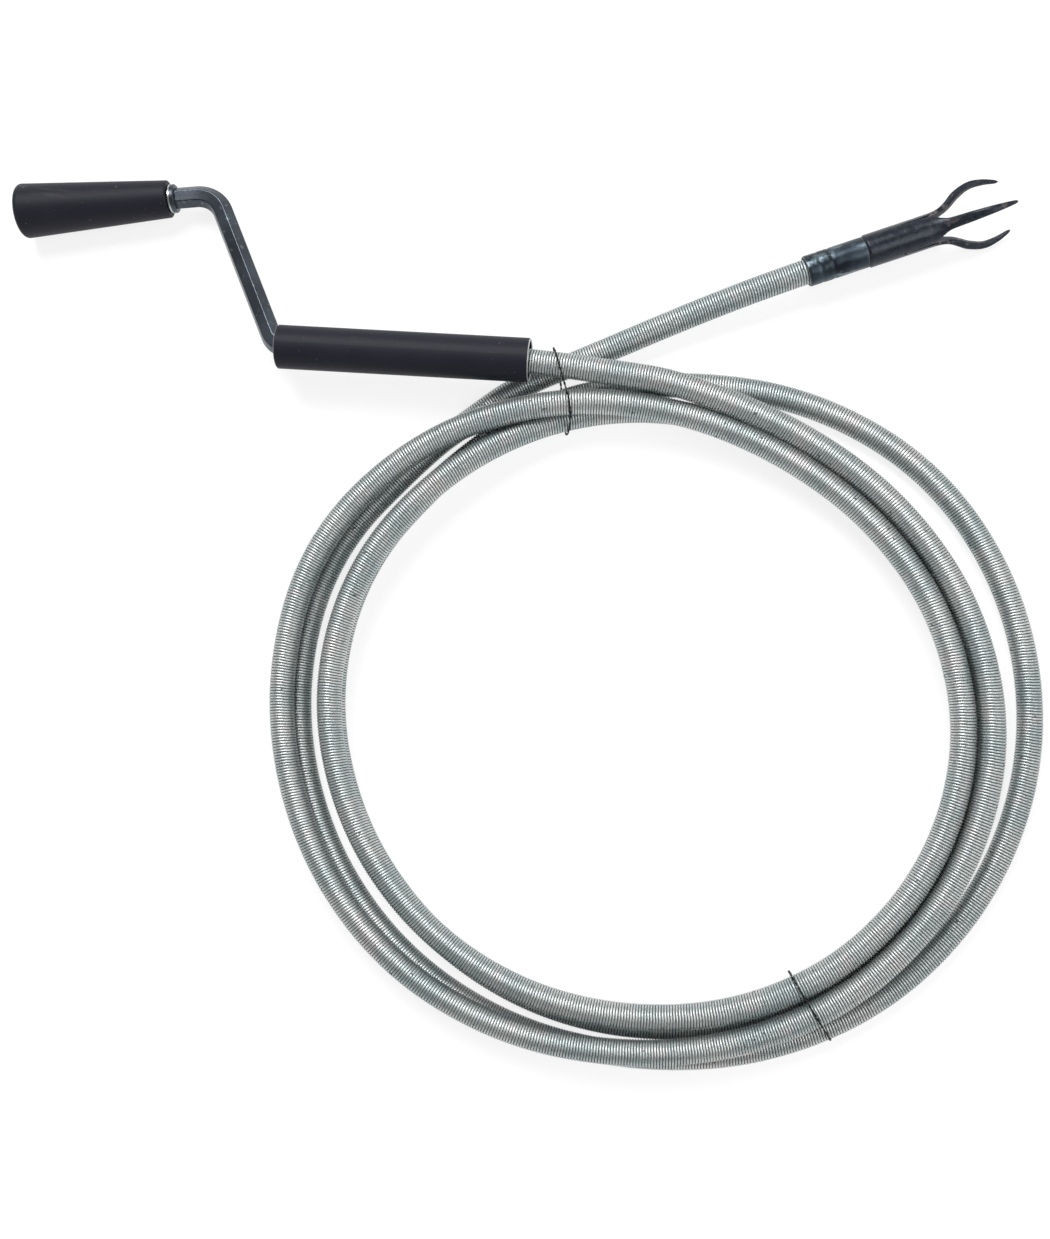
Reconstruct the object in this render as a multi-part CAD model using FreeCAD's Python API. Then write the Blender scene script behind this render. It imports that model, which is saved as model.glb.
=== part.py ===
"""Hand drain auger: a crank handle, a loose guide sleeve and five metres of close-wound wire spiral.

Millimetres.  +X runs along the guide sleeve towards the spiral, +Z is up and the floor is z = 0.
The origin is under the middle of the handle: crank, grip and sleeve.  The tool lies as it is
stored, with the spiral wound into four loose turns and tied in two places.
"""
import FreeCAD, Part
import math
import os

V = FreeCAD.Vector

# ---- Driving dimensions ----------------------------------------------------------------------

# Guide sleeve, a plain tube that turns freely round the spiral.
SLEEVE_OUTER = 25.0
SLEEVE_INNER = 22.0
SLEEVE_LENGTH = 146.0
SLEEVE_END = V(158.1, -43.6, 28.0)
SLEEVE_EDGE = 0.5

# Crank, bent from hexagon bar.  Its corners are (along, across) from the sleeve's end.
BAR_FLATS = 11.0
BAR_EDGE = 1.0
BAR_ROLL = -15.0
GRIP_END_AT = (-314.4, 77.7)
GRIP_START_AT = (-224.4, 90.15)
UPPER_CORNER = (-196.3, 94.0)
LOWER_CORNER = (-148.0, 0.0)
UPPER_BEND = 17.0
LOWER_BEND = 13.0
GRIP_END_HEIGHT = 15.88
NECK_START = -121.5
NECK_DIAMETER = 11.6
NECK_IN_SPIRAL = 25.0

# Grip, a tapered roller on a round spigot, kept by a washer and a push nut behind an end cap.
GRIP_LARGE = 32.0
GRIP_SMALL = 21.5
GRIP_LARGE_EDGE = 3.0
GRIP_SMALL_EDGE = 1.0
SPIGOT_DIAMETER = 8.2
GRIP_BORE = 8.36
END_PLAY = 0.3
COLLAR = (16.5, 4.0)
COLLAR_EDGE = 0.6
POCKET = (22.0, 10.0)
WASHER = (18.0, 1.2)
PUSH_NUT = (14.0, 3.0)
NUT_TEETH = 6
SPIGOT_BEYOND_NUT = 0.6
CAP_THICKNESS = 3.0
CAP_EDGE = 0.8

# Spiral and its weld to the crank.
SPIRAL = 15.0
SPIRAL_START = 42.6
SPIRAL_BORE_DEPTH = 26.0
WELD_LENGTH = 5.0
WELD_DIAMETER = 17.0
BEND_SHARE = 0.45

# The stored coil: distance of each turn from the coil's centre, and its height, by direction.
# Directions are degrees clockwise from +Y.
CENTRE = V(243.1, -239.9, 0.0)
DIRECTIONS = (0, 22.5, 45, 90, 135, 180, 225, 270, 292.5, 315, 337.5)
REACH = (
    (184.5, 175.9, 176.9, 183.8, 182.3, 182.6, 200.6, 213.2, 216.2, 204.2, 187.0),
    (171.6, 162.2, 161.7, 168.2, 166.4, 163.6, 173.0, 185.6, 186.6, 181.5, 178.8),
    (175.4, 169.8, 169.6, 175.2, 174.4, 171.0, 175.5, 186.4, 188.6, 184.0, 190.6),
    (190.6, 198.6, 206.0, 206.0, 196.5, 187.0, 196.4, 206.4, 208.8, 199.4),
)
HEIGHT = (
    (29.4, 24.6, 21.0, 21.0, 21.0, 21.8, 21.8, 21.4, 21.0, 22.0, 26.2),
    (23.4, 21.2, 20.6, 20.6, 20.8, 20.6, 22.2, 22.6, 22.6, 22.4, 13.8),
    (8.0, 7.5, 7.5, 7.5, 7.5, 7.5, 7.5, 7.5, 7.5, 7.5, 7.5),
    (7.5, 7.5, 7.5, 7.5, 7.5, 7.5, 7.5, 7.5, 7.5, 7.5),
)
POINTS_PER_TURN = 16
LAST_DIRECTION = 315
LAYER_SPLIT = 13.5
COIL_TOP = 29.0

# Free stretches of the spiral, chosen by hand.
LEAD_IN = (
    V(SPIRAL_START, -43.6, 28.0),
    V(100.6, -43.6, 28.0),
    V(158.6, -43.9, 28.8),
    V(206.6, -48.5, 29.6),
)
LEAD_OUT = (
    V(123.6, -76.1, 7.5),
    V(148.6, -55.1, 7.5),
    V(191.6, -34.8, 8.8),
    V(248.6, -7.2, 12.4),
)

# Head: a ferrule, a plug through it, and a three-tongued claw.
HEAD_START = V(309.7, 18.7, 16.6)
HEAD_ANGLE = 21.9
HEAD_BEND_BEFORE = 16.6
SPIRAL_IN_HEAD = 22.0
FERRULE = (17.6, 15.3, 35.0)
FERRULE_EDGE = 0.4
PLUG_SHANK = (11.6, 20.0)
PLUG_NOSE_LENGTH = 25.0
CLAW_TUBE = (18.8, 15.0, 43.0)
CLAW_EDGE = 0.8
CLAW_ROLL = 15.0
TONGUES = 3
# Each tongue from its root: along, radius, thickness, width.
TONGUE_SHAPE = (
    (-9.0, 8.3, 1.8, 8.6),
    (0.0, 8.9, 3.4, 7.2),
    (8.0, 12.4, 4.2, 6.3),
    (16.0, 16.9, 4.1, 5.4),
    (24.0, 19.7, 3.5, 4.4),
    (32.0, 18.9, 2.7, 3.2),
    (40.0, 16.0, 1.5, 1.6),
)
VALLEY_DEPTH = 16.0
VALLEY_WIDTH = 9.0

# Tie wires: where each loop stands, and its run from end to end as (along, sideways, height).
# The two ends of a loop meet underneath, where the real ones are twisted together.
TIE_WIRE = 1.2
UPPER_TIE = (V(171.5, -38.7, 0), V(182.8, -82.6, 0))
UPPER_TIE_RUN = (
    (8.0, 0.0, 0.6),
    (-2.3, 0.0, 0.6),
    (-2.3, 0.0, 32.5),
    (0.5, 0.9, 37.4),
    (12.0, 2.0, 37.9),
    (33.0, 4.2, 33.8),
    (43.4, 0.4, 19.0),
    (43.4, -2.4, 6.0),
    (38.0, -2.0, 0.6),
    (9.0, 0.0, 0.6),
)
LOWER_TIE = (V(324.3, -370.0, 0), V(346.6, -401.5, 0))
LOWER_TIE_RUN = (
    (26.5, 0.0, 0.6),
    (14.0, 0.0, 0.6),
    (6.0, 0.0, 7.0),
    (1.2, 0.0, 21.0),
    (3.0, 0.0, 27.5),
    (11.0, 0.0, 29.2),
    (29.0, 0.0, 29.9),
    (36.8, 0.0, 26.5),
    (47.5, 0.0, 12.0),
    (46.5, 0.0, 2.5),
    (40.0, 0.0, 0.6),
    (27.5, 0.0, 0.6),
)

X_AXIS = V(1, 0, 0)
Z_AXIS = V(0, 0, 1)


def save(name, shape):
    """Write one node and print its size."""
    shape.exportStep("parts/" + name + ".step")
    box = shape.BoundBox
    print("%-16s solids %d  volume %9.1f  x %7.1f %7.1f  y %7.1f %7.1f  z %6.2f %6.2f" % (
        name, len(shape.Solids), shape.Volume, box.XMin, box.XMax, box.YMin, box.YMax, box.ZMin, box.ZMax))


def rod(diameter, start, length, axis):
    return Part.makeCylinder(diameter / 2, length, start, axis)


def turned(outline, start, axis):
    """A solid turned from an outline of (along, radius) points, then laid along an axis."""
    points = [V(along, 0, radius) for along, radius in outline]
    wire = Part.makePolygon(points + [points[0]])
    solid = Part.Face(wire).revolve(V(0, 0, 0), X_AXIS, 360)
    turn = FreeCAD.Rotation(X_AXIS, axis)
    return solid.transformed(FreeCAD.Placement(start, turn).toMatrix())


def ring(outer, inner, length, edge, start, axis):
    """A tube with its four rims broken by a small chamfer."""
    big, small = outer / 2, inner / 2
    outline = ((0, small + edge), (0, big - edge), (edge, big), (length - edge, big),
               (length, big - edge), (length, small + edge), (length - edge, small), (edge, small))
    return turned(outline, start, axis)


# ---- Paths -----------------------------------------------------------------------------------

def rounded_path(points, radii, closed=False):
    """Straight runs joined by tangent arcs, one arc for each inner point."""
    count = len(points)
    inner = range(count) if closed else range(1, count - 1)
    bends = {}
    for here in inner:
        before, at, after = points[here - 1], points[here], points[(here + 1) % count]
        back = (before - at).normalize()
        ahead = (after - at).normalize()
        half_turn = (math.pi - back.getAngle(ahead)) / 2
        trim = radii[here] * math.tan(half_turn)
        middle = (back + ahead).normalize()
        reach = radii[here] / math.cos(half_turn) - radii[here]
        bends[here] = (at + back * trim, at + middle * reach, at + ahead * trim)
    edges = []
    for here in range(count if closed else count - 1):
        there = (here + 1) % count
        start = bends[here][2] if here in bends else points[here]
        end = bends[there][0] if there in bends else points[there]
        if (end - start).Length > 1e-6:
            edges.append(Part.LineSegment(start, end).toShape())
        if there in bends:
            edges.append(Part.Arc(*bends[there]).toShape())
    return Part.Wire(edges)


def largest_radii(points):
    """For each inner point, the radius that its two runs allow."""
    radii = {}
    for here in range(1, len(points) - 1):
        before, at, after = points[here - 1], points[here], points[here + 1]
        back, ahead = before - at, after - at
        half_turn = (math.pi - back.getAngle(ahead)) / 2
        radii[here] = BEND_SHARE * min(back.Length, ahead.Length) / math.tan(half_turn)
    return radii


def swept_round(path, diameter):
    start = path.Edges[0]
    at = start.valueAt(start.FirstParameter)
    along = start.tangentAt(start.FirstParameter)
    section = Part.Wire(Part.makeCircle(diameter / 2, at, along))
    return path.makePipeShell([section], True, False)


def spiral_tube(name, points):
    """One uncoiled stretch of the spiral, as its outer cylinder."""
    radii = largest_radii(points)
    path = rounded_path(points, radii)
    tube = swept_round(path, SPIRAL)
    expected = path.Length * math.pi * SPIRAL ** 2 / 4
    runs = [(b - a).Length for a, b in zip(points, points[1:])]
    print(name, "runs", [round(run, 1) for run in runs], "radii", [round(r) for r in radii.values()],
          "length %.1f  volume ratio %.5f" % (path.Length, tube.Volume / expected))
    return tube


# ---- The coil --------------------------------------------------------------------------------

def turn_value(table, degrees):
    """A smooth value between the table's directions, counted on from turn to turn."""
    knots = []
    for turn, row in enumerate(table):
        knots += [(360 * turn + way, value) for way, value in zip(DIRECTIONS, row)]
    last = len(knots) - 1
    here = min(max(n for n, knot in enumerate(knots) if knot[0] <= degrees + 1e-9), last - 1)

    def slope(n):
        low, high = knots[max(n - 1, 0)], knots[min(n + 1, last)]
        return (high[1] - low[1]) / (high[0] - low[0])

    width = knots[here + 1][0] - knots[here][0]
    s = (degrees - knots[here][0]) / width
    return ((2 * s ** 3 - 3 * s ** 2 + 1) * knots[here][1] + (s ** 3 - 2 * s ** 2 + s) * slope(here) * width
            + (3 * s ** 2 - 2 * s ** 3) * knots[here + 1][1] + (s ** 3 - s ** 2) * slope(here + 1) * width)


def around(degrees, reach, height):
    angle = math.radians(degrees)
    return V(CENTRE.x + reach * math.sin(angle), CENTRE.y + reach * math.cos(angle), height)


def on_turn(degrees):
    return around(degrees, turn_value(REACH, degrees), turn_value(HEIGHT, degrees))


def coil_face(reach_at, height):
    """A face inside a smooth closed outline round the coil's centre."""
    step = 360 / POINTS_PER_TURN
    points = [around(step * n, reach_at(step * n), height) for n in range(POINTS_PER_TURN)]
    outline = Part.BSplineCurve()
    outline.interpolate(Points=points, PeriodicFlag=True)
    return Part.Face(Part.Wire(outline.toShape()))


def coil_layer(inner_turn, outer_turn, bottom, top):
    """A band from the inside of one turn to the outside of another."""
    half = SPIRAL / 2
    last = 360 * (len(REACH) - 1) + LAST_DIRECTION

    def outside(way):
        degrees = 360 * outer_turn + way
        return turn_value(REACH, degrees if degrees <= last else degrees - 360) + half

    def inside(way):
        return turn_value(REACH, 360 * inner_turn + way) - half

    rise = V(0, 0, top - bottom)
    return coil_face(outside, bottom).extrude(rise).cut(coil_face(inside, bottom).extrude(rise))


def make_coil():
    lower = coil_layer(2, 3, 0, LAYER_SPLIT)
    upper = coil_layer(1, 0, LAYER_SPLIT, COIL_TOP)
    return lower.fuse(upper).removeSplitter()


# ---- Handle ----------------------------------------------------------------------------------

ROLL = math.asin((GRIP_END_HEIGHT - SLEEVE_END.z) / GRIP_END_AT[1])


def crank_point(along, across, above=0.0):
    """From the crank's own plane to the frame: the plane is rolled about the sleeve's axis."""
    return SLEEVE_END + V(along, across * math.cos(ROLL) - above * math.sin(ROLL),
                          across * math.sin(ROLL) + above * math.cos(ROLL))


GRIP_START = crank_point(*GRIP_START_AT)
GRIP_AXIS = (crank_point(*GRIP_END_AT) - GRIP_START).normalize()
GRIP_LENGTH = (crank_point(*GRIP_END_AT) - GRIP_START).Length
CRANK_NORMAL = crank_point(0, 0, 1) - SLEEVE_END
POCKET_FLOOR = GRIP_LENGTH - POCKET[1]


def along_grip(distance):
    return GRIP_START + GRIP_AXIS * distance


def hexagon(at, along, flat_side):
    """The bar's section: a hexagon with rounded edges, one flat facing flat_side but for the roll."""
    side = along.cross(flat_side).normalize()
    corner = BAR_FLATS / math.sqrt(3)
    points = []
    for n in range(6):
        angle = math.radians(60 * n + BAR_ROLL)
        points.append(at + side * (corner * math.cos(angle)) + flat_side * (corner * math.sin(angle)))
    return rounded_path(points, {n: BAR_EDGE for n in range(6)}, closed=True)


def make_crank():
    shoulder = along_grip(-END_PLAY - COLLAR[1])
    neck_start = crank_point(NECK_START, 0)
    corners = [shoulder, crank_point(*UPPER_CORNER), crank_point(*LOWER_CORNER), neck_start]
    path = rounded_path(corners, {1: UPPER_BEND, 2: LOWER_BEND})
    bar = path.makePipeShell([hexagon(shoulder, GRIP_AXIS * -1, CRANK_NORMAL)], True, False)
    spigot_end = POCKET_FLOOR + END_PLAY + WASHER[1] + PUSH_NUT[1] + SPIGOT_BEYOND_NUT
    spigot = rod(SPIGOT_DIAMETER, shoulder, spigot_end + END_PLAY + COLLAR[1], GRIP_AXIS)
    neck_end = SPIRAL_START + NECK_IN_SPIRAL
    neck = rod(NECK_DIAMETER, neck_start, neck_end - neck_start.x, X_AXIS)
    return bar.fuse([spigot, neck])


def make_grip():
    big, small = GRIP_LARGE / 2, GRIP_SMALL / 2
    bore, pocket = GRIP_BORE / 2, POCKET[0] / 2
    outline = ((0, bore), (0, small), (GRIP_LENGTH, big), (GRIP_LENGTH, pocket), (POCKET_FLOOR, pocket),
               (POCKET_FLOOR, bore))
    grip = turned(outline, V(0, 0, 0), X_AXIS)
    large_rim = [edge for edge in grip.Edges if abs(edge.BoundBox.XMin - GRIP_LENGTH) < 0.01
                 and edge.BoundBox.XLength < 0.01 and edge.BoundBox.ZMax > big - 0.1]
    grip = grip.makeFillet(GRIP_LARGE_EDGE, large_rim)
    small_rim = [edge for edge in grip.Edges if abs(edge.BoundBox.XMax) < 0.01
                 and edge.BoundBox.ZMax > small - 0.1]
    grip = grip.makeFillet(GRIP_SMALL_EDGE, small_rim)
    turn = FreeCAD.Rotation(X_AXIS, GRIP_AXIS)
    return grip.transformed(FreeCAD.Placement(GRIP_START, turn).toMatrix())


def make_collar():
    start = along_grip(-END_PLAY - COLLAR[1])
    return ring(COLLAR[0], SPIGOT_DIAMETER, COLLAR[1], COLLAR_EDGE, start, GRIP_AXIS)


def make_washer():
    start = along_grip(POCKET_FLOOR + END_PLAY)
    return rod(WASHER[0], start, WASHER[1], GRIP_AXIS).cut(rod(SPIGOT_DIAMETER, start, WASHER[1], GRIP_AXIS))


def make_push_nut():
    """A domed spring nut, with slots between its gripping teeth."""
    start = POCKET_FLOOR + END_PLAY + WASHER[1]
    outer, bore, height = PUSH_NUT[0] / 2, SPIGOT_DIAMETER / 2, PUSH_NUT[1]
    outline = ((0, bore + 1.6), (0, outer), (0.9, outer), (height, bore + 1.2), (height, bore),
               (height - 1.0, bore))
    nut = turned(outline, V(0, 0, 0), X_AXIS)
    slot = Part.makeBox(height, 0.8, 1.6, V(height - 1.6, -0.4, bore - 0.6))
    for n in range(NUT_TEETH):
        tooth_gap = slot.copy()
        tooth_gap.rotate(V(0, 0, 0), X_AXIS, 360 / NUT_TEETH * n)
        nut = nut.cut(tooth_gap)
    turn = FreeCAD.Rotation(X_AXIS, GRIP_AXIS)
    return nut.transformed(FreeCAD.Placement(along_grip(start), turn).toMatrix())


def make_end_cap():
    outer = POCKET[0] / 2
    outline = ((0, 0), (0, outer), (CAP_THICKNESS - CAP_EDGE, outer), (CAP_THICKNESS, outer - CAP_EDGE),
               (CAP_THICKNESS, 0))
    return turned(outline, along_grip(GRIP_LENGTH - CAP_THICKNESS), GRIP_AXIS)


def make_sleeve():
    start = SLEEVE_END - X_AXIS * SLEEVE_LENGTH
    return ring(SLEEVE_OUTER, SLEEVE_INNER, SLEEVE_LENGTH, SLEEVE_EDGE, start, X_AXIS)


def make_weld():
    """A bead round the neck, against the first turn of the spiral."""
    neck, bead = NECK_DIAMETER / 2, WELD_DIAMETER / 2
    outline = ((0, neck), (0.8, neck + 1.2), (WELD_LENGTH - 2.4, bead), (WELD_LENGTH - 0.8, bead),
               (WELD_LENGTH, SPIRAL / 2), (WELD_LENGTH, neck))
    return turned(outline, V(SPIRAL_START - WELD_LENGTH, SLEEVE_END.y, SLEEVE_END.z), X_AXIS)


# ---- Head ------------------------------------------------------------------------------------

HEAD_AXIS = V(math.cos(math.radians(HEAD_ANGLE)), math.sin(math.radians(HEAD_ANGLE)), 0)


def along_head(distance):
    return HEAD_START + HEAD_AXIS * distance


def make_ferrule():
    return ring(FERRULE[0], FERRULE[1], FERRULE[2], FERRULE_EDGE, HEAD_START, HEAD_AXIS)


def make_head_plug():
    shank = PLUG_SHANK[0] / 2
    body = FERRULE[1] / 2
    nose = CLAW_TUBE[1] / 2
    nose_end = FERRULE[2] + PLUG_NOSE_LENGTH
    shank_start = SPIRAL_IN_HEAD - PLUG_SHANK[1]
    outline = ((shank_start, 0), (shank_start, shank), (SPIRAL_IN_HEAD, shank), (SPIRAL_IN_HEAD, body),
               (FERRULE[2], body), (FERRULE[2], nose), (nose_end - 1.0, nose), (nose_end, nose - 1.0),
               (nose_end, 0))
    return turned(outline, HEAD_START, HEAD_AXIS)


def tongue(root):
    """One tongue standing above the +X axis, its root at x = root."""
    sections = []
    last = len(TONGUE_SHAPE) - 1
    for n, (along, radius, thickness, width) in enumerate(TONGUE_SHAPE):
        before, after = TONGUE_SHAPE[max(n - 1, 0)], TONGUE_SHAPE[min(n + 1, last)]
        lie = V(after[0] - before[0], 0, after[1] - before[1]).normalize()
        out = V(-lie.z, 0, lie.x)
        at = V(root + along, 0, radius)
        half_out, half_side = out * (thickness / 2), V(0, width / 2, 0)
        corners = [at + half_out + half_side, at + half_out - half_side,
                   at - half_out - half_side, at - half_out + half_side]
        edge = 0.22 * min(thickness, width)
        sections.append(rounded_path(corners, {k: edge for k in range(4)}, closed=True))
    return Part.makeLoft(sections, True, False)


def make_claw():
    """A tube split into three tongues that bow out and in again, rolled so that it lies on one."""
    outer, inner, length = CLAW_TUBE
    tube = ring(outer, inner, length, CLAW_EDGE, V(0, 0, 0), X_AXIS)
    half = VALLEY_WIDTH / 2
    for n in range(TONGUES):
        valley = Part.Face(Part.makePolygon([V(length - VALLEY_DEPTH, 0, 0), V(length + 1, -half, 0),
                                             V(length + 1, half, 0), V(length - VALLEY_DEPTH, 0, 0)]))
        notch = valley.extrude(Z_AXIS * outer)
        notch.rotate(V(0, 0, 0), X_AXIS, 360 / TONGUES * (n + 0.5))
        tube = tube.cut(notch)
    claw = tube
    for n in range(TONGUES):
        arm = tongue(length)
        arm.rotate(V(0, 0, 0), X_AXIS, 360 / TONGUES * n)
        claw = claw.fuse(arm)
    claw.rotate(V(0, 0, 0), X_AXIS, CLAW_ROLL)
    turn = FreeCAD.Rotation(Z_AXIS, HEAD_ANGLE)
    return claw.transformed(FreeCAD.Placement(along_head(FERRULE[2]), turn).toMatrix())


# ---- Spiral and ties -------------------------------------------------------------------------

def make_lead_in():
    points = list(LEAD_IN) + [on_turn(0), on_turn(22.5)]
    tube = spiral_tube("spiral_lead_in", points)
    return tube.cut(rod(NECK_DIAMETER, points[0], SPIRAL_BORE_DEPTH, X_AXIS))


def make_lead_out():
    coil_end = 360 * (len(REACH) - 1) + LAST_DIRECTION
    points = [on_turn(coil_end - 11.25), on_turn(coil_end)] + list(LEAD_OUT)
    points += [along_head(-HEAD_BEND_BEFORE), along_head(SPIRAL_IN_HEAD)]
    tube = spiral_tube("spiral_lead_out", points)
    bore_start = along_head(SPIRAL_IN_HEAD - PLUG_SHANK[1])
    return tube.cut(rod(PLUG_SHANK[0], bore_start, PLUG_SHANK[1], HEAD_AXIS))


def make_tie(ends, run):
    """A loop of wire standing over the line between two points."""
    along = (ends[1] - ends[0]).normalize()
    side = Z_AXIS.cross(along)
    points = [ends[0] + along * distance + side * sideways + V(0, 0, height)
              for distance, sideways, height in run]
    return swept_round(rounded_path(points, largest_radii(points)), TIE_WIRE)


# ---- Build -----------------------------------------------------------------------------------

os.makedirs("parts", exist_ok=True)
save("crank_arm", make_crank())
save("grip_collar", make_collar())
save("crank_grip", make_grip())
save("grip_washer", make_washer())
save("grip_push_nut", make_push_nut())
save("grip_end_cap", make_end_cap())
save("guide_sleeve", make_sleeve())
save("drive_weld", make_weld())
save("spiral_lead_in", make_lead_in())
save("spiral_coil", make_coil())
save("spiral_lead_out", make_lead_out())
save("head_ferrule", make_ferrule())
save("head_plug", make_head_plug())
save("retriever_claw", make_claw())
save("tie_wire_upper", make_tie(UPPER_TIE, UPPER_TIE_RUN))
save("tie_wire_lower", make_tie(LOWER_TIE, LOWER_TIE_RUN))
print("grip axis at start (%.2f %.2f %.2f), direction (%.5f %.5f %.5f)" % (*GRIP_START, *GRIP_AXIS))
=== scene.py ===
import math

import bmesh
import bpy
from mathutils import Matrix, Vector, noise


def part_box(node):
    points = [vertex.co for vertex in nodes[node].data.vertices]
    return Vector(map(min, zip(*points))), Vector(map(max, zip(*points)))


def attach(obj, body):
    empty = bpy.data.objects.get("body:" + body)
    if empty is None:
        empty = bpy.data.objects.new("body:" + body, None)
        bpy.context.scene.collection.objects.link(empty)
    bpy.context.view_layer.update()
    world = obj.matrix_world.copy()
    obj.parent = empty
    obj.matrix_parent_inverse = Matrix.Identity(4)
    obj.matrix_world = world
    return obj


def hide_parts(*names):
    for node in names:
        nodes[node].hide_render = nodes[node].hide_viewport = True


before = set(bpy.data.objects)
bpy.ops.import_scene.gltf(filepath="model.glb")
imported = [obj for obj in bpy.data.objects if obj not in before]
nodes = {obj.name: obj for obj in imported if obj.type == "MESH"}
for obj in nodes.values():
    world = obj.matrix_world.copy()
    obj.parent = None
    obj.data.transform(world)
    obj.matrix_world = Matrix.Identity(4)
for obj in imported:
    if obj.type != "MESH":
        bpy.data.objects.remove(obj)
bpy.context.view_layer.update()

# ---- Sizes, in metres ------------------------------------------------------------------------

SPIRAL = 0.015                 # outer diameter of the wound wire
PITCH = 0.00158                # one wire to the next
GAP_DEPTH = 0.00075            # how far the gap between two wires goes in
SHOULDER_DEPTH = 0.00012
SHOULDER = 0.24                # half the flat of a wire, as a share of the pitch
AROUND = 10                    # points round the spiral
COLUMNS = 24                   # columns that the spiral takes up in its texture
COLUMN_MARGIN = 0.04

CENTRE = Vector((0.2431, -0.2399, 0.0))
DIRECTIONS = (0, 22.5, 45, 90, 135, 180, 225, 270, 292.5, 315, 337.5)
REACH = (
    (0.1845, 0.1759, 0.1769, 0.1838, 0.1823, 0.1826, 0.2006, 0.2132, 0.2162, 0.2042, 0.1870),
    (0.1716, 0.1622, 0.1617, 0.1682, 0.1664, 0.1636, 0.1730, 0.1856, 0.1866, 0.1815, 0.1788),
    (0.1754, 0.1698, 0.1696, 0.1752, 0.1744, 0.1710, 0.1755, 0.1864, 0.1886, 0.1840, 0.1906),
    (0.1906, 0.1986, 0.2060, 0.2060, 0.1965, 0.1870, 0.1964, 0.2064, 0.2088, 0.1994),
)
HEIGHT = (
    (0.0294, 0.0246, 0.0210, 0.0210, 0.0210, 0.0218, 0.0218, 0.0214, 0.0210, 0.0220, 0.0262),
    (0.0234, 0.0212, 0.0206, 0.0206, 0.0208, 0.0206, 0.0222, 0.0226, 0.0226, 0.0224, 0.0138),
    (0.0080, 0.0075, 0.0075, 0.0075, 0.0075, 0.0075, 0.0075, 0.0075, 0.0075, 0.0075, 0.0075),
    (0.0075, 0.0075, 0.0075, 0.0075, 0.0075, 0.0075, 0.0075, 0.0075, 0.0075, 0.0075),
)
POINTS_PER_TURN = 16
LAST_DIRECTION = 315
LEAD_IN = (
    (0.0426, -0.0436, 0.0280),
    (0.1006, -0.0436, 0.0280),
    (0.1586, -0.0439, 0.0288),
    (0.2066, -0.0485, 0.0296),
)
LEAD_OUT = (
    (0.1236, -0.0761, 0.0075),
    (0.1486, -0.0551, 0.0075),
    (0.1916, -0.0348, 0.0088),
    (0.2486, -0.0072, 0.0124),
)

HEAD_START = Vector((0.3097, 0.0187, 0.0166))
HEAD_ANGLE = math.radians(21.9)
HEAD_AXIS = Vector((math.cos(HEAD_ANGLE), math.sin(HEAD_ANGLE), 0))
HEAD_BEND_BEFORE = 0.0166
SPIRAL_IN_HEAD = 0.022
FERRULE_LENGTH = 0.035

GRIP_START = Vector((-0.0663, 0.04545, 0.01394))
GRIP_AXIS = Vector((-0.99057, -0.13535, 0.02137))

# ---- Camera ----------------------------------------------------------------------------------

CAMERA_AT = Vector((0.2436, -0.2398, 0.8112))
CAMERA_AIM = Vector((0.1656, -0.1898, 0.016))
PICTURE_UP = Vector((-0.0786, 0.9969, 0.0))


def make_camera():
    toward = (CAMERA_AIM - CAMERA_AT).normalized()
    right = toward.cross(PICTURE_UP).normalized()
    up = right.cross(toward)
    data = bpy.data.cameras.new("camera")
    data.lens = 40.95
    data.sensor_width = 36.0
    camera = bpy.data.objects.new("camera", data)
    bpy.context.collection.objects.link(camera)
    turn = Matrix((right, up, -toward)).transposed().to_4x4()
    camera.matrix_world = Matrix.Translation(CAMERA_AT) @ turn
    bpy.context.scene.camera = camera


make_camera()

# ---- Mesh helpers ----------------------------------------------------------------------------


def make_mesh(name, points, faces, crease=None):
    """An object from points and faces, smooth except at edges sharper than crease degrees."""
    mesh = bpy.data.meshes.new(name)
    mesh.from_pydata(points, [], faces)
    mesh.validate()
    mesh.shade_smooth()
    if crease is not None:
        mesh.set_sharp_from_angle(angle=math.radians(crease))
    piece = bpy.data.objects.new(name, mesh)
    bpy.context.collection.objects.link(piece)
    return piece


def smooth_line(points, steps=32):
    """Points read from a NURBS spline that has the given points as its control points."""
    data = bpy.data.curves.new("line", "CURVE")
    data.dimensions = "3D"
    data.resolution_u = steps
    spline = data.splines.new("NURBS")
    spline.points.add(len(points) - 1)
    for place, point in zip(spline.points, points):
        place.co = (*point, 1)
    spline.order_u = 3
    spline.use_endpoint_u = True
    holder = bpy.data.objects.new("line", data)
    mesh = bpy.data.meshes.new_from_object(holder)
    line = [vertex.co.copy() for vertex in mesh.vertices]
    bpy.data.objects.remove(holder)
    bpy.data.curves.remove(data)
    bpy.data.meshes.remove(mesh)
    return line


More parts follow.
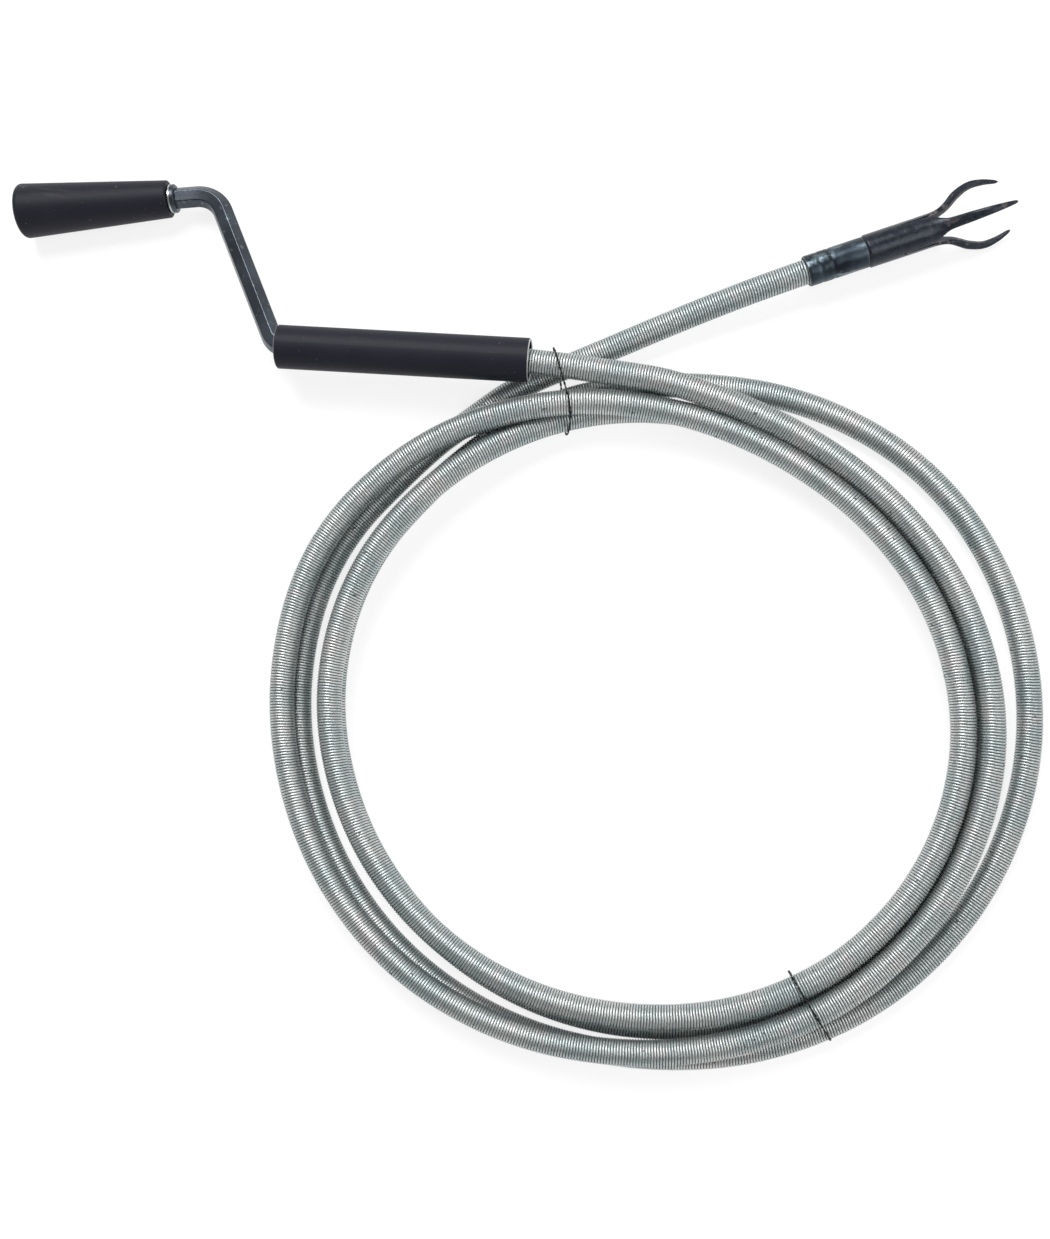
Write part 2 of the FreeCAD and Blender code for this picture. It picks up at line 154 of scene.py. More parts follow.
class Track:
    """A line with a frame that travels along it without twisting."""

    def __init__(self, line):
        self.line = line
        self.at = [0.0]
        for a, b in zip(line, line[1:]):
            self.at.append(self.at[-1] + (b - a).length)
        self.length = self.at[-1]
        self.sides = []
        along = (line[1] - line[0]).normalized()
        side = along.cross(Vector((0, 0, 1))).normalized()
        for n in range(len(line)):
            ahead = line[min(n + 1, len(line) - 1)] - line[max(n - 1, 0)]
            ahead.normalize()
            side = (side - ahead * side.dot(ahead)).normalized()
            self.sides.append((side, ahead.cross(side)))
        self.here = 0

    def place(self, distance):
        """Centre, side and other side at a distance along the line."""
        while self.here < len(self.at) - 2 and self.at[self.here + 1] < distance:
            self.here += 1
        while self.here > 0 and self.at[self.here] > distance:
            self.here -= 1
        n = self.here
        share = (distance - self.at[n]) / (self.at[n + 1] - self.at[n])
        centre = self.line[n].lerp(self.line[n + 1], share)
        side = self.sides[n][0].lerp(self.sides[n + 1][0], share)
        other = self.sides[n][1].lerp(self.sides[n + 1][1], share)
        return centre, side, other


# ---- The spiral ------------------------------------------------------------------------------


def smooth_value(knots, at):
    """A value that runs smoothly through (place, value) knots."""
    last = len(knots) - 1
    here = min(max(n for n, knot in enumerate(knots) if n == 0 or knot[0] <= at + 1e-9), last - 1)

    def slope(n):
        low, high = knots[max(n - 1, 0)], knots[min(n + 1, last)]
        return (high[1] - low[1]) / (high[0] - low[0])

    width = knots[here + 1][0] - knots[here][0]
    s = (at - knots[here][0]) / width
    return ((2 * s ** 3 - 3 * s ** 2 + 1) * knots[here][1]
            + (s ** 3 - 2 * s ** 2 + s) * slope(here) * width
            + (3 * s ** 2 - 2 * s ** 3) * knots[here + 1][1]
            + (s ** 3 - s ** 2) * slope(here + 1) * width)


def turn_value(table, degrees):
    """A smooth value between the table's directions, counted on from turn to turn."""
    knots = [(360 * turn + way, value)
             for turn, row in enumerate(table)
             for way, value in zip(DIRECTIONS, row)]
    return smooth_value(knots, degrees)


def coil_points():
    """The turns of the coil. Control points stand out a little, because the line passes inside them."""
    stand_out = 1 / math.cos(math.pi / POINTS_PER_TURN)
    step = 360 / POINTS_PER_TURN
    count = int((360 * (len(REACH) - 1) + LAST_DIRECTION) / step)
    points = []
    for n in range(count + 1):
        angle = math.radians(step * n)
        reach = turn_value(REACH, step * n) * stand_out
        height = turn_value(HEIGHT, step * n)
        points.append(CENTRE + Vector((reach * math.sin(angle), reach * math.cos(angle), height)))
    return points


def head_point(distance):
    return HEAD_START + HEAD_AXIS * distance


def spiral_route():
    ends = [head_point(-HEAD_BEND_BEFORE), head_point(SPIRAL_IN_HEAD)]
    return [Vector(p) for p in LEAD_IN] + coil_points() + [Vector(p) for p in LEAD_OUT] + ends


def make_spiral():
    """One left-hand winding of wire, its rows running round it as the wire does."""
    line = smooth_line(spiral_route())
    track = Track(line)
    radius = SPIRAL / 2
    rows = ((0.0, radius - GAP_DEPTH, 1.0), (0.5 - SHOULDER, radius - SHOULDER_DEPTH, 0.0),
            (0.5 + SHOULDER, radius - SHOULDER_DEPTH, 0.0))
    turns = int(track.length / PITCH) - 1
    count = turns * len(rows)
    points, gaps = [], []
    for i in range(count):
        share, reach, gap = rows[i % len(rows)]
        for j in range(AROUND):
            distance = (i // len(rows) + 1 + share - j / AROUND) * PITCH
            centre, side, other = track.place(min(max(distance, 0.0), track.length))
            angle = 2 * math.pi * j / AROUND
            points.append(centre + side * (reach * math.cos(angle)) + other * (reach * math.sin(angle)))
            gaps.append(gap)
    faces = []
    for i in range(len(rows), count - 1):
        for j in range(AROUND):
            if j < AROUND - 1:
                a, b = i * AROUND + j, i * AROUND + j + 1
            else:
                a, b = i * AROUND + j, (i - len(rows)) * AROUND
            faces.append((a, a + AROUND, b + AROUND, b))
    spiral = make_mesh("wire_spiral", points, faces)
    layer = spiral.data.attributes.new("gap", "FLOAT", "POINT")
    layer.data.foreach_set("value", gaps)
    lay_out_in_columns(spiral, count)
    return spiral, line, track.length


def lay_out_in_columns(spiral, count):
    """Texture space for the long tube: cut into stretches that stand side by side as columns."""
    uv = spiral.data.uv_layers.new(name="OFBake")
    rows_each = math.ceil(count / COLUMNS)
    for face in spiral.data.polygons:
        first = face.vertices[0]
        row, step = divmod(first, AROUND)
        column, up = divmod(row, rows_each)
        left = (column + COLUMN_MARGIN + (1 - 2 * COLUMN_MARGIN) * step / AROUND) / COLUMNS
        right = left + (1 - 2 * COLUMN_MARGIN) / AROUND / COLUMNS
        low, high = (up + 0.5) / (rows_each + 1), (up + 1.5) / (rows_each + 1)
        corners = ((left, low), (left, high), (right, high), (right, low))
        for loop, place in zip(face.loop_indices, corners):
            uv.data[loop].uv = place


spiral, spiral_line, spiral_length = make_spiral()
print("spiral length", round(spiral_length, 4), "faces", len(spiral.data.polygons))
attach(spiral, "root")
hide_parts("spiral_lead_in", "spiral_coil", "spiral_lead_out")

# ---- Claw ------------------------------------------------------------------------------------

TUBE_LENGTH = 0.043
TUBE_OUTER = 0.0094
TUBE_INNER = 0.0075
TUBE_LIP = 0.0006
LIP_LENGTH = 0.0007
SLIT_START = 0.021
SLIT_OPENS = 0.036
OPEN_FULLY = 0.0475
FULLY_TONGUE = 0.058
SLIT_SHARE = 0.07              # how far the narrow part of a slit has opened
CLAW_ROLL = math.radians(15.0)
TONGUES = 3
# From the tongue's root: along, radius, thickness, width.
TONGUE_SHAPE = (
    (-0.0180, 0.00845, 0.0019, 0.0088),
    (-0.0060, 0.00850, 0.0021, 0.0078),
    (0.0000, 0.00900, 0.0034, 0.0073),
    (0.0080, 0.01240, 0.0043, 0.0064),
    (0.0160, 0.01690, 0.0042, 0.0055),
    (0.0240, 0.01970, 0.0036, 0.0045),
    (0.0320, 0.01890, 0.0028, 0.0033),
    (0.0400, 0.01600, 0.0015, 0.0017),
)
CLAW_LENGTH = TUBE_LENGTH + TONGUE_SHAPE[-1][0]
TIP_LENGTH = 0.002
TIP_NARROWING = 0.6
HALF_LOOP = 13
CLAW_STEPS = 74
SQUARENESS = 3.2
FORGING = 0.00010
FORGING_SIZE = 260


def steady(x, low, high):
    """0 below low, 1 above high, smooth between."""
    t = min(max((x - low) / (high - low), 0.0), 1.0)
    return t * t * (3 - 2 * t)


def tongue_loop(x):
    """One closed section of a tongue, as (side, out, share of a full tongue) about its centreline."""
    along = max(x - TUBE_LENGTH, TONGUE_SHAPE[0][0])
    radius, thick, width = (smooth_value([(row[0], row[k]) for row in TONGUE_SHAPE], along)
                            for k in (1, 2, 3))
    share = steady(x, SLIT_OPENS - 0.006, FULLY_TONGUE)
    slit = SLIT_SHARE * steady(x, SLIT_START, SLIT_START + 0.004)
    opening = slit + (1 - slit) * steady(x, SLIT_OPENS, OPEN_FULLY)
    spread = math.pi / TONGUES * (1 - opening) + width / 2 / radius * opening
    outer = TUBE_OUTER - TUBE_LIP * (1 - steady(x, 0, LIP_LENGTH))
    tip = 1 - TIP_NARROWING * steady(x, CLAW_LENGTH - TIP_LENGTH, CLAW_LENGTH) ** 2
    loop = []
    for face, reach in ((1, outer), (-1, TUBE_INNER)):
        for n in range(HALF_LOOP):
            q = face * (2 * n / (HALF_LOOP - 1) - 1)
            turn = math.pi / 2 * face * (2 * (n + 0.5) / HALF_LOOP - 1)
            tube = (reach * math.sin(q * spread), reach * math.cos(q * spread) - radius)
            side, out = math.sin(turn), face * math.cos(turn)
            power = 2 / SQUARENESS
            bar = (math.copysign(abs(side) ** power, side) * width / 2 * tip,
                   math.copysign(abs(out) ** power, out) * thick / 2 * tip)
            loop.append((tube[0] + (bar[0] - tube[0]) * share, tube[1] + (bar[1] - tube[1]) * share))
    return radius, loop


def make_claw():
    """A tube slit into three forged tongues that bow out and in again."""
    stations = [0.0, 0.0003, LIP_LENGTH]
    stations += [0.0012 + (CLAW_LENGTH - 0.0012) * n / CLAW_STEPS for n in range(CLAW_STEPS + 1)]
    across = Vector((-HEAD_AXIS.y, HEAD_AXIS.x, 0))
    start = head_point(FERRULE_LENGTH)
    size = 2 * HALF_LOOP
    points, faces = [], []
    for n in range(TONGUES):
        angle = 2 * math.pi * n / TONGUES - CLAW_ROLL
        up = across * math.sin(angle) + Vector((0, 0, 1)) * math.cos(angle)
        side = HEAD_AXIS.cross(up)
        base = len(points)
        radii = [tongue_loop(x)[0] for x in stations]
        for k, x in enumerate(stations):
            radius, loop = tongue_loop(x)
            before, after = max(k - 1, 0), min(k + 1, len(stations) - 1)
            lie = HEAD_AXIS * (stations[after] - stations[before]) + up * (radii[after] - radii[before])
            out = side.cross(lie.normalized()) * -1
            if out.dot(up) < 0:
                out = out * -1
            for across_by, out_by in loop:
                point = start + HEAD_AXIS * x + up * radius + side * across_by + out * out_by
                rough = noise.noise(point * FORGING_SIZE) * FORGING * steady(x, 0.004, 0.02)
                points.append(point + (point - start - HEAD_AXIS * x).normalized() * rough)
            if k == 0:
                for m in range(HALF_LOOP - 1):
                    faces.append((base + m, base + m + 1, base + size - 2 - m, base + size - 1 - m))
                continue
            low, high = base + (k - 1) * size, base + k * size
            for m in range(size):
                if m in (HALF_LOOP - 1, size - 1) and x < SLIT_START:
                    continue
                after_m = (m + 1) % size
                faces.append((low + m, low + after_m, high + after_m, high + m))
        faces.append(tuple(base + (len(stations) - 1) * size + m for m in range(size)))
    claw = make_mesh("forged_claw", points, faces)
    mend(claw, crease=48)
    return claw


def mend(piece, crease):
    """Welds points that lie on each other, makes all faces look outwards and sets the sharp edges."""
    shape = bmesh.new()
    shape.from_mesh(piece.data)
    bmesh.ops.remove_doubles(shape, verts=shape.verts, dist=2e-5)
    bmesh.ops.recalc_face_normals(shape, faces=shape.faces)
    shape.to_mesh(piece.data)
    shape.free()
    piece.data.shade_smooth()
    piece.data.set_sharp_from_angle(angle=math.radians(crease))


claw = make_claw()
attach(claw, "root")
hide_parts("retriever_claw")

# ---- Ferrule ---------------------------------------------------------------------------------

FERRULE_OUTER = 0.0088
FERRULE_INNER = 0.00765
BANDS_AT = (0.0075, 0.0145)
BAND_DEPTH = 0.00018
ROUND_STEPS = 72


def turned(name, outline, start, axis, dent=0.0, dent_size=1.0, crease=32):
    """A piece turned from a closed outline of (along, radius) points, with slight dents if wanted."""
    side = axis.cross(Vector((0, 0, 1))).normalized()
    other = axis.cross(side)
    points, faces = [], []
    count = len(outline)
    for n in range(ROUND_STEPS):
        angle = 2 * math.pi * n / ROUND_STEPS
        out = side * math.cos(angle) + other * math.sin(angle)
        for along, radius in outline:
            place = start + axis * along + out * radius
            points.append(place + out * (noise.noise(place * dent_size) * dent))
        for m in range(count):
            a, b = n * count + m, n * count + (m + 1) % count
            c, d = (b + count) % (ROUND_STEPS * count), (a + count) % (ROUND_STEPS * count)
            faces.append((a, b, c, d))
    piece = make_mesh(name, points, faces)
    mend(piece, crease)
    return piece


def filled(outline, spacing):
    """The outline with extra points, so that no step is longer than the spacing."""
    full = []
    for (a0, r0), (a1, r1) in zip(outline, outline[1:] + outline[:1]):
        steps = max(1, math.ceil(math.hypot(a1 - a0, r1 - r0) / spacing))
        full += [(a0 + (a1 - a0) * n / steps, r0 + (r1 - r0) * n / steps) for n in range(steps)]
    return full


def make_ferrule():
    """A drawn tube with a rolled rim and two shallow swaged bands that grip the spiral."""
    big, small, long = FERRULE_OUTER, FERRULE_INNER, FERRULE_LENGTH
    outline = [(0.0, small + 0.0002), (0.0, big - 0.0005), (0.0003, big - 0.00015), (0.0008, big)]
    for centre in BANDS_AT:
        outline += [(centre - 0.0012, big), (centre - 0.0005, big - BAND_DEPTH),
                    (centre + 0.0005, big - BAND_DEPTH), (centre + 0.0012, big)]
    outline += [(long - 0.0006, big), (long, big - 0.0004), (long, small), (0.0008, small)]
    return turned("swaged_ferrule", filled(outline, 0.0012), HEAD_START, HEAD_AXIS,
                  dent=0.00012, dent_size=170)


ferrule = make_ferrule()
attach(ferrule, "root")
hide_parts("head_ferrule")

# ---- Tie wires -------------------------------------------------------------------------------

TIE_STRAND = 0.00032
TIE_TWIST = 0.0056
TIE_ROW = 0.0006
# Each loop's run as (along, sideways, height) from the first of its two ground points.
UPPER_TIE = (Vector((0.1715, -0.0387, 0)), Vector((0.1828, -0.0826, 0)))
UPPER_TIE_RUN = (
    (0.0080, 0.0000, 0.00065),
    (-0.0023, 0.0000, 0.00065),
    (-0.0023, 0.0000, 0.0325),
    (0.0005, 0.0009, 0.0374),
    (0.0120, 0.0020, 0.0379),
    (0.0330, 0.0042, 0.0338),
    (0.0434, 0.0004, 0.0190),
    (0.0434, -0.0024, 0.0060),
    (0.0380, -0.0020, 0.00065),
    (0.0090, 0.0000, 0.00065),
)
LOWER_TIE = (Vector((0.3243, -0.3700, 0)), Vector((0.3466, -0.4015, 0)))
LOWER_TIE_RUN = (
    (0.0265, 0.0000, 0.00065),
    (0.0140, 0.0000, 0.00065),
    (0.0060, 0.0000, 0.0070),
    (0.0012, 0.0000, 0.0210),
    (0.0030, 0.0000, 0.0275),
    (0.0110, 0.0000, 0.0292),
    (0.0290, 0.0000, 0.0299),
    (0.0368, 0.0000, 0.0265),
    (0.0475, 0.0000, 0.0120),
    (0.0465, 0.0000, 0.0025),
    (0.0400, 0.0000, 0.00065),
    (0.0275, 0.0000, 0.00065),
)
STRAND_SIDES = 8


def wire_tube(points, faces, line, radius):
    """Adds a round wire with flat ends that follows a line."""
    track = Track(line)
    base = len(points)
    for n, centre in enumerate(line):
        side, other = track.sides[n]
        for m in range(STRAND_SIDES):
            angle = 2 * math.pi * m / STRAND_SIDES
            out = side * math.cos(angle) + other * math.sin(angle)
            points.append(centre + out * radius)
    rows = len(line)
    for n in range(rows - 1):
        low, high = base + n * STRAND_SIDES, base + (n + 1) * STRAND_SIDES
        for m in range(STRAND_SIDES):
            k = (m + 1) % STRAND_SIDES
            faces.append((low + m, low + k, high + k, high + m))
    faces.append(tuple(base + m for m in range(STRAND_SIDES)))
    faces.append(tuple(base + (rows - 1) * STRAND_SIDES + m for m in range(STRAND_SIDES)))


def make_tie(name, ends, run):
    """Two thin wires twisted together and bent into a loop that ends underneath."""
    along = (ends[1] - ends[0]).normalized()
    across = Vector((0, 0, 1)).cross(along)
    corners = [ends[0] + along * distance + across * sideways + Vector((0, 0, height))
               for distance, sideways, height in run]
    track = Track(smooth_line(corners, steps=16))
    rows = int(track.length / TIE_ROW)
    twists = max(1, round(track.length / TIE_TWIST))
    points, faces = [], []
    for strand in (0, 1):
        wound = []
        for n in range(rows + 1):
            centre, side, other = track.place(track.length * n / rows)
            angle = 2 * math.pi * (twists * n / rows + strand / 2)
            out = side * math.cos(angle) + other * math.sin(angle)
            wound.append(centre + out * TIE_STRAND)
        wire_tube(points, faces, wound, TIE_STRAND)
    tie = make_mesh(name, points, faces)
    mend(tie, crease=60)
    return tie


ties = []
for name, ends, run in (("tie_upper", UPPER_TIE, UPPER_TIE_RUN),
                        ("tie_lower", LOWER_TIE, LOWER_TIE_RUN)):
    tie = make_tie(name, ends, run)
    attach(tie, "root")
    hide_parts("tie_wire_" + name.split("_")[1])
    ties.append(tie)

# ---- Materials -------------------------------------------------------------------------------


class Value:
    """A shader socket that takes part in Python arithmetic."""

    def __init__(self, shader, link):
        self.shader = shader
        self.link = link

    def maths(self, operation, first, second):
        return self.shader.node("ShaderNodeMath", {"operation": operation}, {0: first, 1: second})

    def __add__(self, other):
        return self.maths("ADD", self, other)

    def __sub__(self, other):
        return self.maths("SUBTRACT", self, other)

    def __rsub__(self, other):
        return self.maths("SUBTRACT", other, self)

    def __mul__(self, other):
        return self.maths("MULTIPLY", self, other)

    def __pow__(self, power):
        return self.maths("POWER", self, power)

    __radd__ = __add__
    __rmul__ = __mul__


class Shader:
    """A material's nodes: a few makers of patterns, and one surface at the end."""

    def __init__(self, name):
        self.material = bpy.data.materials.new(name)
        self.material.use_nodes = True
        self.tree = self.material.node_tree
        self.surface = self.tree.nodes["Principled BSDF"]
        self.place = self.node("ShaderNodeTexCoord", out="Object")

    def node(self, kind, settings=None, sockets=None, out=0):
        made = self.tree.nodes.new(kind)
        for key, value in (settings or {}).items():
            if key == "stops":
                for n, (at, colour) in enumerate(value):
                    stop = made.color_ramp.elements[n] if n < 2 else made.color_ramp.elements.new(at)
                    stop.position, stop.color = at, (*colour, 1)
            else:
                setattr(made, key, value)
        for key, value in (sockets or {}).items():
            self.feed(made.inputs[key], value)
        return Value(self, made.outputs[out])

    def feed(self, entry, value):
        if isinstance(value, Value):
            self.tree.links.new(value.link, entry)
        else:
            entry.default_value = value

    def vector_maths(self, operation, first, second, out=0):
        settings = {"operation": operation}
        return self.node("ShaderNodeVectorMath", settings, {0: first, 1: second}, out=out)

    def stretched(self, factors, place=None):
        return self.vector_maths("MULTIPLY", place or self.place, factors)

    def noise(self, scale, detail=3.0, rough=0.55, place=None):
        sockets = {"Vector": place or self.place, "Scale": scale, "Detail": detail, "Roughness": rough}
        return self.node("ShaderNodeTexNoise", None, sockets)

    def band(self, value, low, high):
        """0 below low, 1 above high."""
        return self.node("ShaderNodeMapRange", {"interpolation_type": "SMOOTHSTEP"},
                         {"Value": value, "From Min": low, "From Max": high})

    def attribute(self, name):
        return self.node("ShaderNodeAttribute", {"attribute_name": name}, out="Fac")

    def along(self, start, axis):
        """How far the place lies from the start along an axis."""
        from_start = self.vector_maths("SUBTRACT", self.place, start)
        return self.vector_maths("DOT_PRODUCT", from_start, axis, out="Value")

    def from_axis(self, start, axis):
        """How far the place lies from an axis."""
        from_start = self.vector_maths("SUBTRACT", self.place, start)
        across = self.vector_maths("CROSS_PRODUCT", from_start, axis)
        return self.node("ShaderNodeVectorMath", {"operation": "LENGTH"}, {0: across}, out="Value")

    def part(self, axis):
        """One coordinate of the place: 0, 1 or 2."""
        return self.node("ShaderNodeSeparateXYZ", None, {0: self.place}, out=axis)

    def edges(self, low, high):
        """1 on raised edges."""
        return self.band(self.node("ShaderNodeNewGeometry", out="Pointiness"), low, high)

    def mix(self, share, first, second):
        def colour(value):
            return value if isinstance(value, Value) else (*value, 1)
        sockets = {0: share, 6: colour(first), 7: colour(second)}
        return self.node("ShaderNodeMix", {"data_type": "RGBA"}, sockets, out=2)

    def bump(self, height, distance, strength=1.0):
        sockets = {"Height": height, "Distance": distance, "Strength": strength}
        return self.node("ShaderNodeBump", None, sockets)

    def finish(self, colour, **rest):
        self.feed(self.surface.inputs["Base Color"], colour)
        for name, value in rest.items():
            self.feed(self.surface.inputs[name.replace("_", " ")], value)
        return self.material


def zinc_wire():
    """Galvanised spring wire: painted highlight flecks, painted shade in the gaps between turns, patchy
    zinc and specks.
    """
    s = Shader("zinc_wire")
    patches = s.noise(26, 2.0)
    fine = s.noise(420, 2.0)
    tint = s.mix(s.band(patches, 0.35, 0.65), (0.45, 0.515, 0.515), (0.60, 0.625, 0.615))
    tint = s.mix(s.band(s.noise(60, 2.0), 0.5, 0.72) * 0.6, tint, (0.67, 0.62, 0.615))
    worn = s.mix(s.band(fine, 0.54, 0.72) * 0.6, tint, (0.27, 0.33, 0.34))
    # Painted highlights: random near-white flecks are mixed into the zinc colour to stand in for glints
    # on the wire crowns.
    highlight_flecks = s.noise(1100, 1.0)
    bright = s.mix(s.band(highlight_flecks, 0.50, 0.70) * 0.40, worn, (0.86, 0.87, 0.86))
    specks = s.band(s.noise(330, 1.0), 0.73, 0.77)
    dirty = s.mix(specks * 0.85, bright, (0.05, 0.055, 0.06))
    gap = s.band(s.attribute("gap"), 0.1, 0.65)
    # Painted shade: the grooves between the turns are darkened in the colour, where shade falls between
    # the wires.
    colour = s.mix(gap * 0.95, dirty, (0.022, 0.034, 0.040))
    rough = 0.40 + fine * 0.12 + gap * 0.30
    metal = 0.9 - gap * 0.5 - specks * 0.6
    return s.finish(colour, Metallic=metal, Roughness=rough, Normal=s.bump(fine, 0.00012, 0.35))


def paint(name, base, lighter, scratch_stretch, rim=None):
    """Dark satin coat with faint lighter scuffs along the piece and a little grain."""
    s = Shader(name)
    broad = s.noise(18, 2.0)
    grain = s.noise(1400, 2.0)
    lines = s.noise(160, 3.0, place=s.stretched(scratch_stretch))
    scuffs = s.band(lines, 0.63, 0.70) * s.band(s.noise(45, 2.0), 0.45, 0.62)
    nicks = s.band(s.noise(520, 1.0), 0.755, 0.78)
    shade = s.mix(s.band(broad, 0.3, 0.7), base, tuple(c * 1.3 for c in base))
    colour = s.mix(scuffs * 0.5, shade, lighter)
    colour = s.mix(nicks * 0.7, colour, tuple(min(1, c * 2.2) for c in lighter))
    rough = 0.40 + broad * 0.14 + grain * 0.06 - scuffs * 0.05
    metal = nicks * 0.3
    if rim is not None:
        bare = rim(s)
        colour = s.mix(bare, colour, (0.62, 0.63, 0.64))
        metal = metal + bare * 0.9
    height = grain * 0.35 + lines * 0.25 - nicks * 0.6
    s.surface.inputs["Specular IOR Level"].default_value = 0.16
    return s.finish(colour, Roughness=rough, Metallic=metal, Normal=s.bump(height, 0.00012, 0.55))


def sleeve_rims(s):
    """Bare metal on the last half millimetre of the sleeve's two ends."""
    low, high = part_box("guide_sleeve")
    x = s.part(0)
    far_rim = s.band(x, high[0] - 0.0006, high[0] - 0.0003)
    near_rim = s.band(0 - x, -low[0] - 0.0005, -low[0] - 0.0002)
    return far_rim + 0.5 * near_rim


def blackened(s):
    """Colour, roughness and bump height of blue-black drawn steel."""
    broad = s.noise(40, 3.0)
    lines = s.noise(220, 3.0, place=s.stretched((0.35, 0.12, 1)))
    worn = s.band(s.noise(240, 3.0, 0.65), 0.60, 0.70)
    shade = s.mix(s.band(broad, 0.35, 0.65), (0.052, 0.060, 0.073), (0.074, 0.089, 0.106))
    colour = s.mix(worn * 0.5, shade, (0.21, 0.25, 0.27))
    rough = 0.24 + lines * 0.10 + broad * 0.08
    return colour, rough, lines * 0.4 + s.noise(1100, 2.0) * 0.2 - worn * 0.3


def hexagon_steel():
    """Blackened drawn bar with drawing lines and worn bluish spots."""
    s = Shader("hexagon_steel")
    colour, rough, height = blackened(s)
    return s.finish(colour, Metallic=0.9, Roughness=rough, Normal=s.bump(height, 0.00015, 0.3))


def collar_steel():
    """The bar's steel with a bright turned rim."""
    s = Shader("collar_steel")
    colour, rough, height = blackened(s)
    rim = s.band(s.from_axis(GRIP_START, GRIP_AXIS), 0.0076, 0.0080)
    rim = rim * s.band(s.along(GRIP_START, GRIP_AXIS), -0.0019, -0.0015)
    colour = s.mix(rim * 0.9, colour, (0.60, 0.61, 0.62))
    normal = s.bump(height, 0.0001, 0.4)
    return s.finish(colour, Metallic=0.85, Roughness=rough - rim * 0.08, Normal=normal)


def blued_tube():
    """Blue-black ferrule with worn patches, bare edges and small pits."""
    s = Shader("blued_tube")
    broad = s.noise(55, 3.0)
    worn = s.band(s.noise(150, 4.0, 0.65, place=s.stretched((0.4, 0.6, 1))), 0.52, 0.66)
    pits = s.band(s.noise(700, 1.0), 0.70, 0.74)
    shade = s.mix(s.band(broad, 0.35, 0.65), (0.014, 0.019, 0.027), (0.046, 0.063, 0.080))
    colour = s.mix(worn * 0.7, shade, (0.19, 0.25, 0.28))
    colour = s.mix(s.edges(0.52, 0.60) * 0.5, colour, (0.36, 0.39, 0.41))
    height = 0.5 * broad - 0.7 * pits + 0.2 * s.noise(1300, 2.0)
    rough = 0.26 + broad * 0.16 + pits * 0.2
    return s.finish(colour, Metallic=0.8, Roughness=rough, Normal=s.bump(height, 0.0002, 0.6))


def forged_black():
    """Forge-blackened claw: an even blue-black tube, and scale with brown-violet wear on the tongues."""
    s = Shader("forged_black")
    on_tongue = s.band(s.along(HEAD_START, HEAD_AXIS), FERRULE_LENGTH + 0.030, FERRULE_LENGTH + 0.048)
    scale = s.noise(420, 4.0, 0.65)
    hammer = s.noise(130, 2.0)
    wear = s.band(s.noise(230, 3.0, 0.6), 0.56, 0.66) * (on_tongue * 0.92 + 0.08)
    shade = s.mix(s.band(scale, 0.4, 0.62), (0.011, 0.014, 0.023), (0.020, 0.026, 0.040))
    colour = s.mix(wear * 0.6, shade, (0.115, 0.092, 0.098))
    colour = s.mix(s.edges(0.51, 0.57) * wear, colour, (0.26, 0.22, 0.22))
    height = (0.8 * hammer + 0.35 * scale) * (on_tongue * 0.75 + 0.25)
    rough = 0.22 + scale * 0.14 + on_tongue * 0.12
    return s.finish(colour, Metallic=0.4, Roughness=rough, Normal=s.bump(height, 0.0004, 0.5))


def annealed_wire():
    """Black annealed wire with rubbed spots."""
    s = Shader("annealed_wire")
    rubbed = s.band(s.noise(330, 2.0), 0.58, 0.66)
    scale = s.noise(1600, 2.0)
    colour = s.mix(rubbed * 0.6, (0.012, 0.014, 0.014), (0.16, 0.17, 0.17))
    normal = s.bump(scale, 0.0001, 0.5)
    return s.finish(colour, Metallic=0.5, Roughness=0.42 + scale * 0.2, Normal=normal)


def zinc_plate():
    """Bright zinc plate with a fine brushed grain."""
    s = Shader("zinc_plate")
    grain = s.noise(1500, 2.0)
    cloud = s.noise(300, 2.0)
    colour = s.mix(s.band(cloud, 0.35, 0.65), (0.55, 0.56, 0.55), (0.70, 0.69, 0.64))
    normal = s.bump(grain, 0.00005, 0.4)
    return s.finish(colour, Metallic=1.0, Roughness=0.28 + grain * 0.15, Normal=normal)


def heat_tinted():
    """A rough weld bead with ripples and brown and blue heat tint."""
    s = Shader("heat_tinted")
    ripple = s.noise(500, 3.0)
    tint = s.node("ShaderNodeValToRGB", {"stops": ((0.3, (0.10, 0.08, 0.06)), (0.7, (0.10, 0.12, 0.18)),
                                                   (0.5, (0.26, 0.19, 0.12)))}, {0: s.noise(180, 2.0)})
    normal = s.bump(ripple, 0.0005, 0.8)
    return s.finish(tint, Metallic=0.8, Roughness=0.45 + ripple * 0.2, Normal=normal)


def dress(piece, material):
    """Gives every slot of the piece the material, and adds a slot if it has none."""
    if not piece.material_slots:
        piece.data.materials.append(material)
    for entry in piece.material_slots:
        entry.material = material


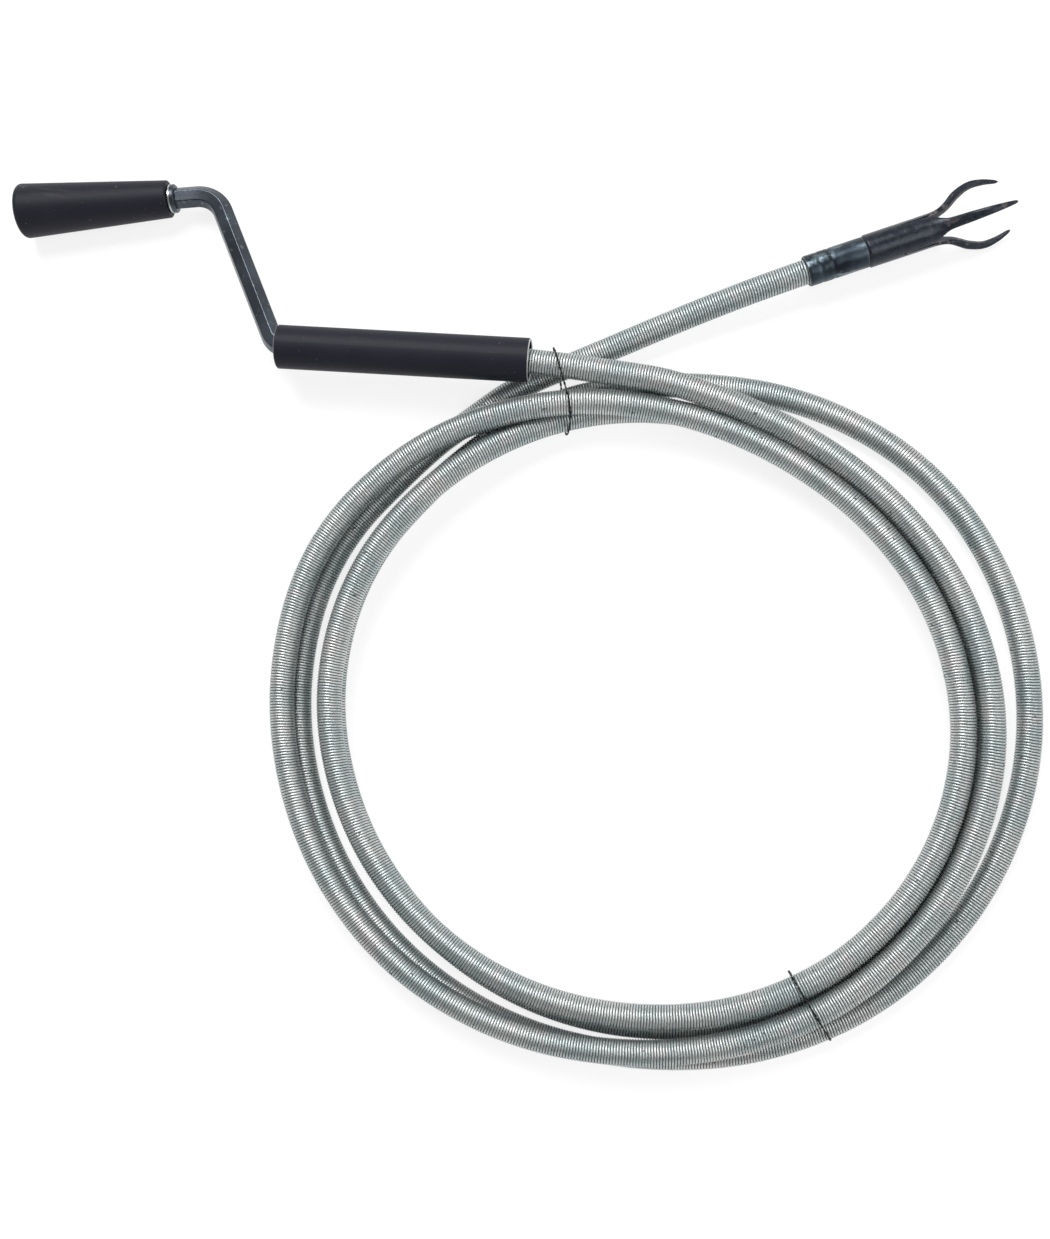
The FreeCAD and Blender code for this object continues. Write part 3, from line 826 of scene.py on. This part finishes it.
dress(spiral, zinc_wire())
sleeve_coat = paint("sleeve_coat", (0.0120, 0.0125, 0.0190), (0.045, 0.047, 0.060), (0.10, 1, 1),
                    sleeve_rims)
dress(nodes["guide_sleeve"], sleeve_coat)
grip_coat = paint("grip_coat", (0.0120, 0.0125, 0.0185), (0.050, 0.051, 0.062), (0.12, 1, 1))
dress(nodes["crank_grip"], grip_coat)
dress(nodes["grip_end_cap"], grip_coat)
dress(nodes["crank_arm"], hexagon_steel())
dress(nodes["grip_collar"], collar_steel())
dress(ferrule, blued_tube())
forged = forged_black()
dress(claw, forged)
dress(nodes["head_plug"], forged)
wire = annealed_wire()
for tie in ties:
    dress(tie, wire)
plate = zinc_plate()
dress(nodes["grip_washer"], plate)
dress(nodes["grip_push_nut"], plate)
dress(nodes["drive_weld"], heat_tinted())

# ---- Floor and light -------------------------------------------------------------------------

FLOOR_SIZE = 6.0


def make_floor():
    half = FLOOR_SIZE / 2
    corners = [(-half, -half, 0), (half, -half, 0), (half, half, 0), (-half, half, 0)]
    floor = make_mesh("floor", corners, [(0, 1, 2, 3)])
    material = bpy.data.materials.new("floor")
    material.use_nodes = True
    surface = material.node_tree.nodes["Principled BSDF"]
    surface.inputs["Base Color"].default_value = (0.26, 0.26, 0.26, 1)
    surface.inputs["Roughness"].default_value = 0.9
    surface.inputs["Specular IOR Level"].default_value = 0.0
    surface.inputs["Emission Color"].default_value = (1, 1, 1, 1)
    surface.inputs["Emission Strength"].default_value = 0.80
    floor.data.materials.append(material)


def make_light(name, place, aim, size, watts):
    data = bpy.data.lights.new(name, "AREA")
    data.size = size
    data.energy = watts
    light = bpy.data.objects.new(name, data)
    bpy.context.collection.objects.link(light)
    light.location = place
    light.rotation_euler = (Vector(aim) - Vector(place)).to_track_quat("-Z", "Y").to_euler()


def make_world():
    """Pale walls all round, darker overhead."""
    world = bpy.data.worlds.new("studio")
    world.use_nodes = True
    tree = world.node_tree
    place = tree.nodes.new("ShaderNodeTexCoord")
    parts = tree.nodes.new("ShaderNodeSeparateXYZ")
    share = tree.nodes.new("ShaderNodeMapRange")
    share.inputs["From Min"].default_value = 0.10
    share.inputs["From Max"].default_value = 0.65
    share.inputs["To Min"].default_value = 0.75
    share.inputs["To Max"].default_value = 0.18
    tree.links.new(place.outputs["Generated"], parts.inputs[0])
    tree.links.new(parts.outputs["Z"], share.inputs["Value"])
    tree.links.new(share.outputs[0], tree.nodes["Background"].inputs["Strength"])
    tree.nodes["Background"].inputs["Color"].default_value = (1, 1, 1, 1)
    bpy.context.scene.world = world


bpy.context.scene.view_settings.view_transform = "Standard"
make_floor()
make_world()
make_light("key", (-0.3, 1.0, 1.7), (0.15, -0.15, 0), 1.0, 38)
make_light("fill", (1.3, -0.3, 1.4), (0.15, -0.15, 0), 1.2, 12)
